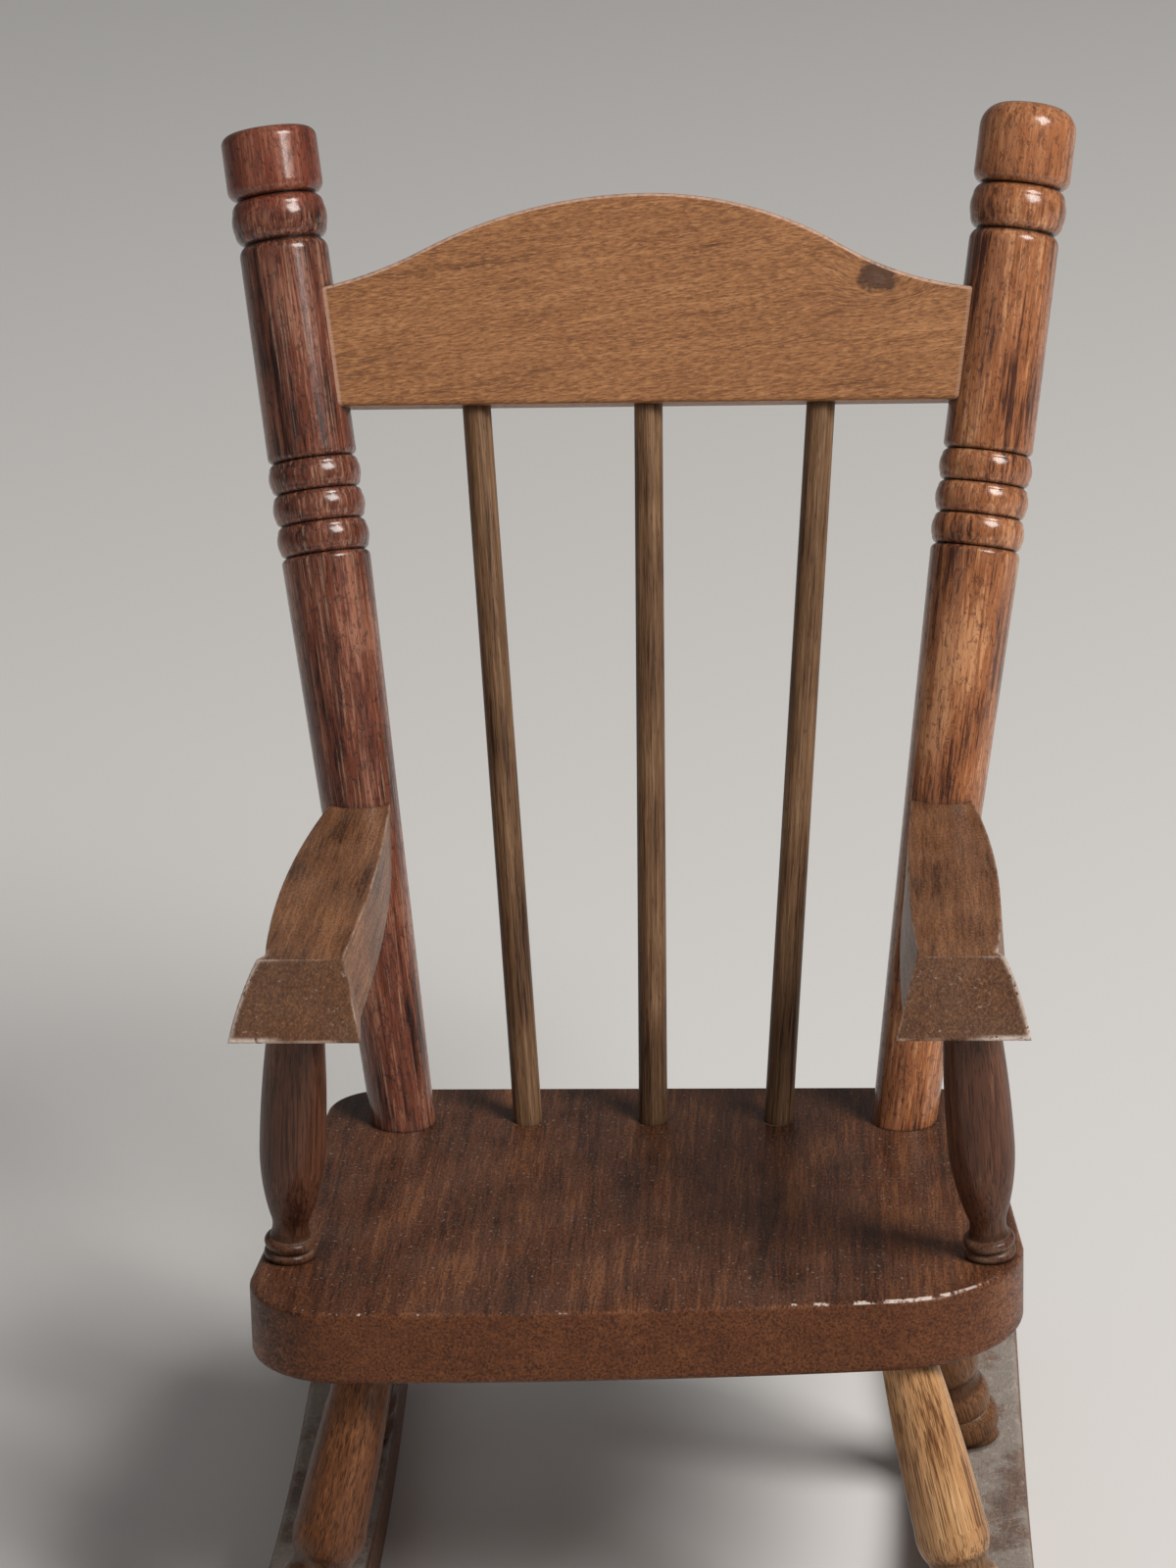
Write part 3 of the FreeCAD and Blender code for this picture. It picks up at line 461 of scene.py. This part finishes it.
def finish_rail():
    tree, shader, point = new_finish("crest_rail")
    tilted = add(tree, "ShaderNodeMapping", {"Vector": point})
    tilted.inputs["Rotation"].default_value = (0, math.radians(-8), 0)
    bend = rescale(tree, knot_rings(tree, point, 3.8), 3.2, 0.6, 0.0, 3.4)
    bent = add(tree, "ShaderNodeCombineXYZ", {0: bend, 1: 0.0, 2: 0.0}).outputs[0]
    bent = add(tree, "ShaderNodeVectorMath", {0: tilted.outputs[0], 1: bent}, operation="ADD").outputs[0]
    dark, middle, light = tint(0.14, 0.054, 0.021), tint(0.32, 0.137, 0.054), tint(0.46, 0.22, 0.095)
    grain = use(tree, GRAIN, Point=bent, Batch=8.0, Streak_Width=1.5, Streak_Length=30.0,
                Dark=dark, Middle=middle, Light=light, Contrast=0.6, Pores=0.15, Patches=0.35)
    fleck_noise = noise(tree, stretch(tree, bent, 0.32, 1.7), 31.0, detail=2.0, rough=0.6)
    flecks = rescale(tree, fleck_noise, 0.52, 0.62)
    pale = rescale(tree, fleck_noise, 0.47, 0.35)
    worn = use(tree, EDGE_WEAR, Point=point, Batch=8.0, Reach=0.0008, Patch_Size=9.0, Amount=0.8)
    dust_and_shade = use(tree, DUST_AND_SHADE, Point=point, Batch=8.0, Amount=0.08)
    colour = coat(tree, grain["Color"], shade(tree, flecks, 0.55), tint(0.12, 0.046, 0.018))
    colour = coat(tree, colour, shade(tree, pale, 0.45), tint(0.57, 0.29, 0.12))
    ragged = noise(tree, stretch(tree, point, 2.4, 2.4), 33.0, 2.0)
    rings = sums(tree, "MULTIPLY_ADD", ragged, 1.3, knot_rings(tree, point, 3.8))
    colour = coat(tree, colour, rescale(tree, rings, 1.8, 1.4, 0.0, 0.85), tint(0.05, 0.023, 0.015))
    colour = coat(tree, colour, rescale(tree, rings, 1.05, 0.8, 0.0, 0.45), tint(0.14, 0.08, 0.06))
    off_face = sums(tree, "SUBTRACT", facing(tree, FORWARD, 80, 66), facing(tree, FORWARD, 28, 14))
    upper = sums(tree, "MULTIPLY", off_face, facing(tree, UPWARD, 86, 70))
    uneven = rescale(tree, noise(tree, point, 34.0, 3.0), 0.3, 0.6, 0.35, 0.85)
    rubbed = sums(tree, "MULTIPLY", upper, uneven)
    colour = coat(tree, colour, shade(tree, worn["Mask"], 0.5), tint(0.6, 0.37, 0.22))
    colour = coat(tree, colour, rubbed, tint(0.62, 0.42, 0.33))
    # Corners and joints darkened by ambient occlusion: painted shade.
    colour = coat(tree, colour, shade(tree, dust_and_shade["Painted Shade"], 0.55), tint(0.05, 0.02, 0.01))
    left_line, right_line = joint_line(tree, 0.75)
    colour = coat(tree, colour, shade(tree, left_line, 0.75), tint(0.5, 0.3, 0.22))
    colour = coat(tree, colour, shade(tree, right_line, 0.4), tint(0.5, 0.3, 0.22))
    height = sums(tree, "MULTIPLY_ADD", flecks, -0.8, grain["Height"])
    seal(tree, shader, colour, sums(tree, "MULTIPLY_ADD", flecks, 0.12, 0.44), height, worn["Normal"],
         0.16, coat_weight=0.15, coat_rough=0.32)


finish_rail()
print("knot lies", KNOT_UP, "mm above the rail's lower edge")

# %% [markdown]
# The three plain spindles behind the sitter are thin dowels, greyish brown, with streaks along
# them and only a thin coat of finish. The two dowels hidden in the arm joints get the same finish.

# %% Spindles and the hidden arm dowels
def finish_dowel(node_name, batch, dark, middle, light):
    tree, shader, point = new_finish(node_name)
    grain = use(tree, GRAIN, Point=point, Batch=batch, Streak_Width=0.7, Streak_Length=32.0,
                Dark=dark, Middle=middle, Light=light, Contrast=1.0, Pores=0.45, Patches=0.6)
    worn = use(tree, EDGE_WEAR, Point=point, Batch=batch, Reach=0.0005, Patch_Size=4.0, Amount=0.2)
    dust_and_shade = use(tree, DUST_AND_SHADE, Point=point, Batch=batch, Amount=0.1)
    # Corners and joints darkened by ambient occlusion: painted shade.
    colour = coat(tree, grain["Color"], shade(tree, dust_and_shade["Painted Shade"], 0.8), tint(0.02, 0.01, 0.006))
    seal(tree, shader, colour, rescale(tree, grain["Tone"], 0.0, 1.0, 0.4, 0.5), grain["Height"],
         worn["Normal"], 0.2, coat_weight=0.15, coat_rough=0.3)


for number, name in enumerate(("spindle_left", "spindle_middle", "spindle_right",
                               "arm_dowel_left", "arm_dowel_right")):
    finish_dowel(name, 12.0 + number, tint(0.04, 0.018, 0.009), tint(0.145, 0.076, 0.038),
                 tint(0.26, 0.15, 0.08))

# %% [markdown]
# Arms, seat and rockers are sawn boards with a satin red-brown stain. Cut fibres speckle them,
# dust lies on what faces up (on the rockers also a painted sheen), their sharp edges are worn to
# pale wood, and their corners and joints are darkened as painted shade. One function lays all of
# that. A board may also be dressed: its own function then gives a mask of bare wood (on the seat
# also a painted highlight), and a stain with the mask it is laid by.

# %% The finish of a sawn board
def finish_board(node_name, batch, stain, dust_and_sheen, wear, dust_and_sheen_tint, dress=None, speckle=0.7):
    tree, shader, point = new_finish(node_name)
    dark, middle, light = stain
    bare_and_highlight, top, share = dress(tree, point) if dress else (0.0, middle, 0.0)
    grain = use(tree, GRAIN, Point=point, Batch=batch, Streak_Width=1.5, Streak_Length=38.0,
                Dark=dark, Middle=middle, Light=light, Contrast=0.95, Pores=0.4, Patches=0.7)
    speck_noise = noise(tree, stretch(tree, point, 0.5, 1.0), batch + 40.0, detail=3.0, rough=0.7)
    specks = rescale(tree, speck_noise, 0.51, 0.62)
    sparks = rescale(tree, speck_noise, 0.47, 0.36)
    worn = use(tree, EDGE_WEAR, Point=point, Batch=batch, Reach=0.0009, Patch_Size=9.0,
               Amount=wear)
    dust_and_shade = use(tree, DUST_AND_SHADE, Point=point, Batch=batch, Amount=dust_and_sheen)
    colour = coat(tree, grain["Color"], share, top)
    colour = coat(tree, colour, shade(tree, specks, speckle), dark)
    colour = coat(tree, colour, shade(tree, sparks, speckle * 0.75), light)
    # Dust on faces that look up; on the rockers also a painted sheen of light from above.
    colour = coat(tree, colour, dust_and_shade["Dust"], dust_and_sheen_tint)
    colour = coat(tree, colour, shade(tree, dust_and_shade["Specks"], 0.38), tint(0.48, 0.42, 0.36))
    colour = coat(tree, colour, shade(tree, worn["Mask"], 0.8), tint(0.68, 0.5, 0.38))
    # Pale bare wood; on the seat's arris this is also a painted highlight.
    colour = coat(tree, colour, shade(tree, bare_and_highlight, 0.85), tint(0.78, 0.66, 0.58))
    # Corners and joints darkened by ambient occlusion: painted shade.
    colour = coat(tree, colour, shade(tree, dust_and_shade["Painted Shade"], 0.75), tint(0.02, 0.008, 0.005))
    height = sums(tree, "MULTIPLY_ADD", specks, -0.8, grain["Height"])
    seal(tree, shader, colour, sums(tree, "MULTIPLY_ADD", dust_and_shade["Dust"], 0.4, 0.4), height,
         worn["Normal"], 0.2, coat_weight=0.12, coat_rough=0.25)


# %% [markdown]
# The arms end in a bevel that cuts across the fibres. Such end grain drinks more stain, so it is
# darker and greyer, and its outer edge, where the arm is held, is worn to a broken white line.

# %% Arms
def dress_arm(sign):
    def dress(tree, point):
        bevel = facing(tree, (0, -1, 1), 20, 12)
        part = add(tree, "ShaderNodeSeparateXYZ", {0: point}).outputs
        outward = sums(tree, "MULTIPLY", part[0], -sign)
        gaps = noise(tree, stretch(tree, point, 1.3, 2.2), 44.0, 3.0, 0.65)
        edge = use(tree, EDGE_WEAR, Point=point, Batch=44.0, Reach=0.0017)["Edge"]
        front = rescale(tree, part[2], 22.0, 17.0)
        held = sums(tree, "MULTIPLY", rescale(tree, outward, 2.0, 7.0), front)
        broken = rescale(tree, gaps, 0.36, 0.46)
        line = sums(tree, "MULTIPLY", sums(tree, "MULTIPLY", edge, held), broken)
        return line, tint(0.085, 0.038, 0.02), shade(tree, bevel, 0.72)
    return dress


RED_BROWN = (tint(0.055, 0.019, 0.008), tint(0.19, 0.077, 0.032), tint(0.32, 0.14, 0.062))
for number, (side, sign) in enumerate((("left", -1), ("right", 1))):
    finish_board("arm_" + side, 60.0 + number, RED_BROWN, dust_and_sheen=0.1, wear=0.5,
                 dust_and_sheen_tint=tint(0.3, 0.22, 0.17), dress=dress_arm(sign), speckle=0.5)
print("arms finished")

# %% [markdown]
# The seat is a darker, redder plank. Its front edge has been knocked about: the upper arris is
# worn white in broken dashes towards the right, and that white line is also a painted highlight
# where the arris catches the light. Its sawn front shows a more orange stain than the top.

# %% Seat
def dress_seat(tree, point):
    part = add(tree, "ShaderNodeSeparateXYZ", {0: point}).outputs
    rightward = sums(tree, "MULTIPLY", part[0], -1.0)
    front = facing(tree, (0.25, -1, 0), 50, 25)
    reach = sums(tree, "MULTIPLY", rescale(tree, rightward, 24.0, 48.0),
                 rescale(tree, rightward, 66.0, 61.0))
    gaps = noise(tree, stretch(tree, point, 2.6, 2.6), 64.0, 4.0, 0.65)
    broken = rescale(tree, sums(tree, "MULTIPLY_ADD", reach, 0.16, gaps), 0.6, 0.68)
    # A broken white line along the right of the front arris: worn wood and a painted highlight.
    arris_highlight = sums(tree, "MULTIPLY", facing(tree, (0.2, -1, 1.5), 24, 12), rescale(tree, part[1], 3.0, 5.0))
    return sums(tree, "MULTIPLY", arris_highlight, broken), tint(0.12, 0.038, 0.013), shade(tree, front, 0.68)


DEEP_RED = (tint(0.03, 0.009, 0.004), tint(0.102, 0.034, 0.015), tint(0.22, 0.082, 0.032))
finish_board("seat", 63.0, DEEP_RED, dust_and_sheen=0.16, wear=0.42, dust_and_sheen_tint=tint(0.2, 0.13, 0.1), dress=dress_seat)
print("seat finished")

# %% [markdown]
# The rockers have the same stain, but their tops are grey: a thick film of dust that also stands for
# a painted sheen of the light from above, with rubbed spots and faint pale curls, while their sides
# and rounded edges stay reddish brown.
# The curls are the thin band where a bent noise passes through its middle value.

# %% Rockers
NO_STAIN = tint(0, 0, 0)


def dress_rocker(tree, point):
    curls = noise(tree, stretch(tree, point, 6.0, 6.0), 75.0, 2.0, 0.5, 1.6)
    off_line = sums(tree, "ABSOLUTE", sums(tree, "SUBTRACT", curls, 0.5))
    line = rescale(tree, off_line, 0.022, 0.004)
    on_top = sums(tree, "MULTIPLY", line, facing(tree, UPWARD, 60, 30))
    return shade(tree, on_top, 0.22), NO_STAIN, 0.0


DULL_RED = (tint(0.05, 0.02, 0.011), tint(0.15, 0.06, 0.03), tint(0.25, 0.115, 0.06))
# The thick dust film on the rocker tops is also a painted sheen of light from above.
for number, side in enumerate(("left", "right")):
    finish_board("rocker_" + side, 70.0 + number, DULL_RED, dust_and_sheen=1.3, wear=0.4,
                 dust_and_sheen_tint=tint(0.32, 0.275, 0.24), dress=dress_rocker)
print("rockers finished")

# %% [markdown]
# The legs are turned from straight-grained wood whose dark lines run their whole length. The
# finish is thin and honey-coloured. The left legs are browner, with short dark flecks, and part of
# that darkness is painted shade of their shaded side. Grooves, corners and joints are darkened as
# painted shade.
# The two beads above each front foot are rubbed pale. The arm supports are the same turning work
# in the dark stain of the posts.

# %% Legs and arm supports
def finish_leg(node_name, batch, stain, run, bead_rim, bead_top, rub):
    tree, shader, point = new_finish(node_name)
    dark, middle, light = stain
    grain = use(tree, GRAIN, Point=point, Batch=batch, Streak_Width=0.8, Streak_Length=run,
                Dark=dark, Middle=middle, Light=light, Contrast=0.65, Pores=0.4, Patches=0.7)
    line_noise = noise(tree, stretch(tree, point, 0.36, run * 0.4), batch + 30.0, detail=2.0, rough=0.6)
    lines = rescale(tree, line_noise, 0.53, 0.6)
    worn = use(tree, EDGE_WEAR, Point=point, Batch=batch, Reach=0.0008, Patch_Size=5.0, Amount=0.6)
    dust_and_shade = use(tree, DUST_AND_SHADE, Point=point, Batch=batch, Amount=0.12)
    collar = use(tree, TURNING, Point=point, Floor=bead_rim - 0.55, Rim=bead_rim, From=0.0, To=bead_top)
    scuffs = rescale(tree, noise(tree, stretch(tree, point, 3.6, 2.2), batch + 60.0, 2.0, 0.5), 0.42, 0.68)
    up = add(tree, "ShaderNodeSeparateXYZ", {0: point}).outputs[2]
    low = rescale(tree, up, bead_top, bead_top - 3.0)
    colour = coat(tree, grain["Color"], shade(tree, lines, 0.7), dark)
    scuffs = sums(tree, "MULTIPLY", scuffs, low)
    colour = coat(tree, colour, shade(tree, scuffs, rub), tint(0.56, 0.4, 0.28))
    colour = coat(tree, colour, shade(tree, worn["Mask"], 0.45), tint(0.6, 0.43, 0.3))
    # Grooves, corners and joints darkened: painted shade.
    groove_shade = sums(tree, "MAXIMUM", shade(tree, collar["Groove"], 0.8), dust_and_shade["Painted Shade"])
    colour = coat(tree, colour, shade(tree, groove_shade, 0.8), tint(0.045, 0.018, 0.008))
    height = sums(tree, "MULTIPLY_ADD", lines, -0.8, grain["Height"])
    seal(tree, shader, colour, rescale(tree, grain["Tone"], 0.0, 1.0, 0.38, 0.48), height,
         worn["Normal"], 0.2, coat_weight=0.25, coat_rough=0.22)


HONEY = (tint(0.12, 0.044, 0.015), tint(0.5, 0.265, 0.115), tint(0.68, 0.42, 0.21))
# Darker brown of the left legs: partly stain, partly painted shade of their shaded side.
SHADED_BROWN = (tint(0.036, 0.011, 0.004), tint(0.132, 0.047, 0.017), tint(0.25, 0.098, 0.036))
AMBER = (tint(0.05, 0.019, 0.008), tint(0.145, 0.062, 0.025), tint(0.26, 0.125, 0.055))
PLUM = (tint(0.03, 0.01, 0.006), tint(0.1, 0.038, 0.02), tint(0.19, 0.08, 0.042))
for number, (end, side) in enumerate((e, s) for e in ("front", "rear") for s in ("left", "right")):
    stain = {"front right": HONEY, "rear right": AMBER}.get(end + " " + side, SHADED_BROWN)
    run = 50.0 if side == "right" else 7.0
    rub = 0.4 if end == "front" else 0.0
    finish_leg("_".join(("leg", end, side)), 80.0 + number, stain, run, 6.3, 17.5, rub)
for number, side in enumerate(("left", "right")):
    finish_leg("arm_support_" + side, 90.0 + number, PLUM, 40.0, 4.2, 6.0, 0.2)
print("finishes laid on", sum(len(n.data.materials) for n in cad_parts.values()), "slots")

# %% [markdown]
# A plain pale floor and soft light, as in a small studio: one large lamp high on the right, as
# from a window, a weaker one on the left, and an even, dim sky.

# %% Floor and light
floor_mesh = bpy.data.meshes.new("floor")
shape = bmesh.new()
bmesh.ops.create_grid(shape, x_segments=1, y_segments=1, size=4)
shape.to_mesh(floor_mesh)
shape.free()
floor = bpy.data.objects.new("floor", floor_mesh)
bpy.context.scene.collection.objects.link(floor)
paint = bpy.data.materials.new("floor_paint")
paint.use_nodes = True
paint.node_tree.nodes["Principled BSDF"].inputs["Base Color"].default_value = tint(0.83, 0.82, 0.81)
paint.node_tree.nodes["Principled BSDF"].inputs["Roughness"].default_value = 0.9
floor_mesh.materials.append(paint)


def softbox(name, around, height, distance, size, power):
    """An area lamp that looks at the chair, at an angle round to the right and above it."""
    middle = Vector((0, 0, 0.13))
    flat, rise = math.radians(around), math.radians(height)
    out = Vector((math.sin(flat) * math.cos(rise), -math.cos(flat) * math.cos(rise), math.sin(rise)))
    lamp = bpy.data.lights.new(name, "AREA")
    lamp.size = size
    lamp.energy = power
    lamp.color = (1.0, 0.97, 0.93)
    holder = bpy.data.objects.new(name, lamp)
    holder.location = middle + out * distance
    holder.rotation_euler = out.to_track_quat("Z", "Y").to_euler()
    bpy.context.scene.collection.objects.link(holder)


softbox("window", around=56, height=47, distance=2.2, size=0.95, power=48.0)
softbox("left_fill", around=-40, height=35, distance=2.6, size=1.6, power=2.0)
world = bpy.data.worlds.new("studio")
world.use_nodes = True
world.node_tree.nodes["Background"].inputs["Color"].default_value = tint(1.0, 0.99, 0.97)
world.node_tree.nodes["Background"].inputs["Strength"].default_value = 0.15
bpy.context.scene.world = world
bpy.context.scene.view_settings.view_transform = "Standard"
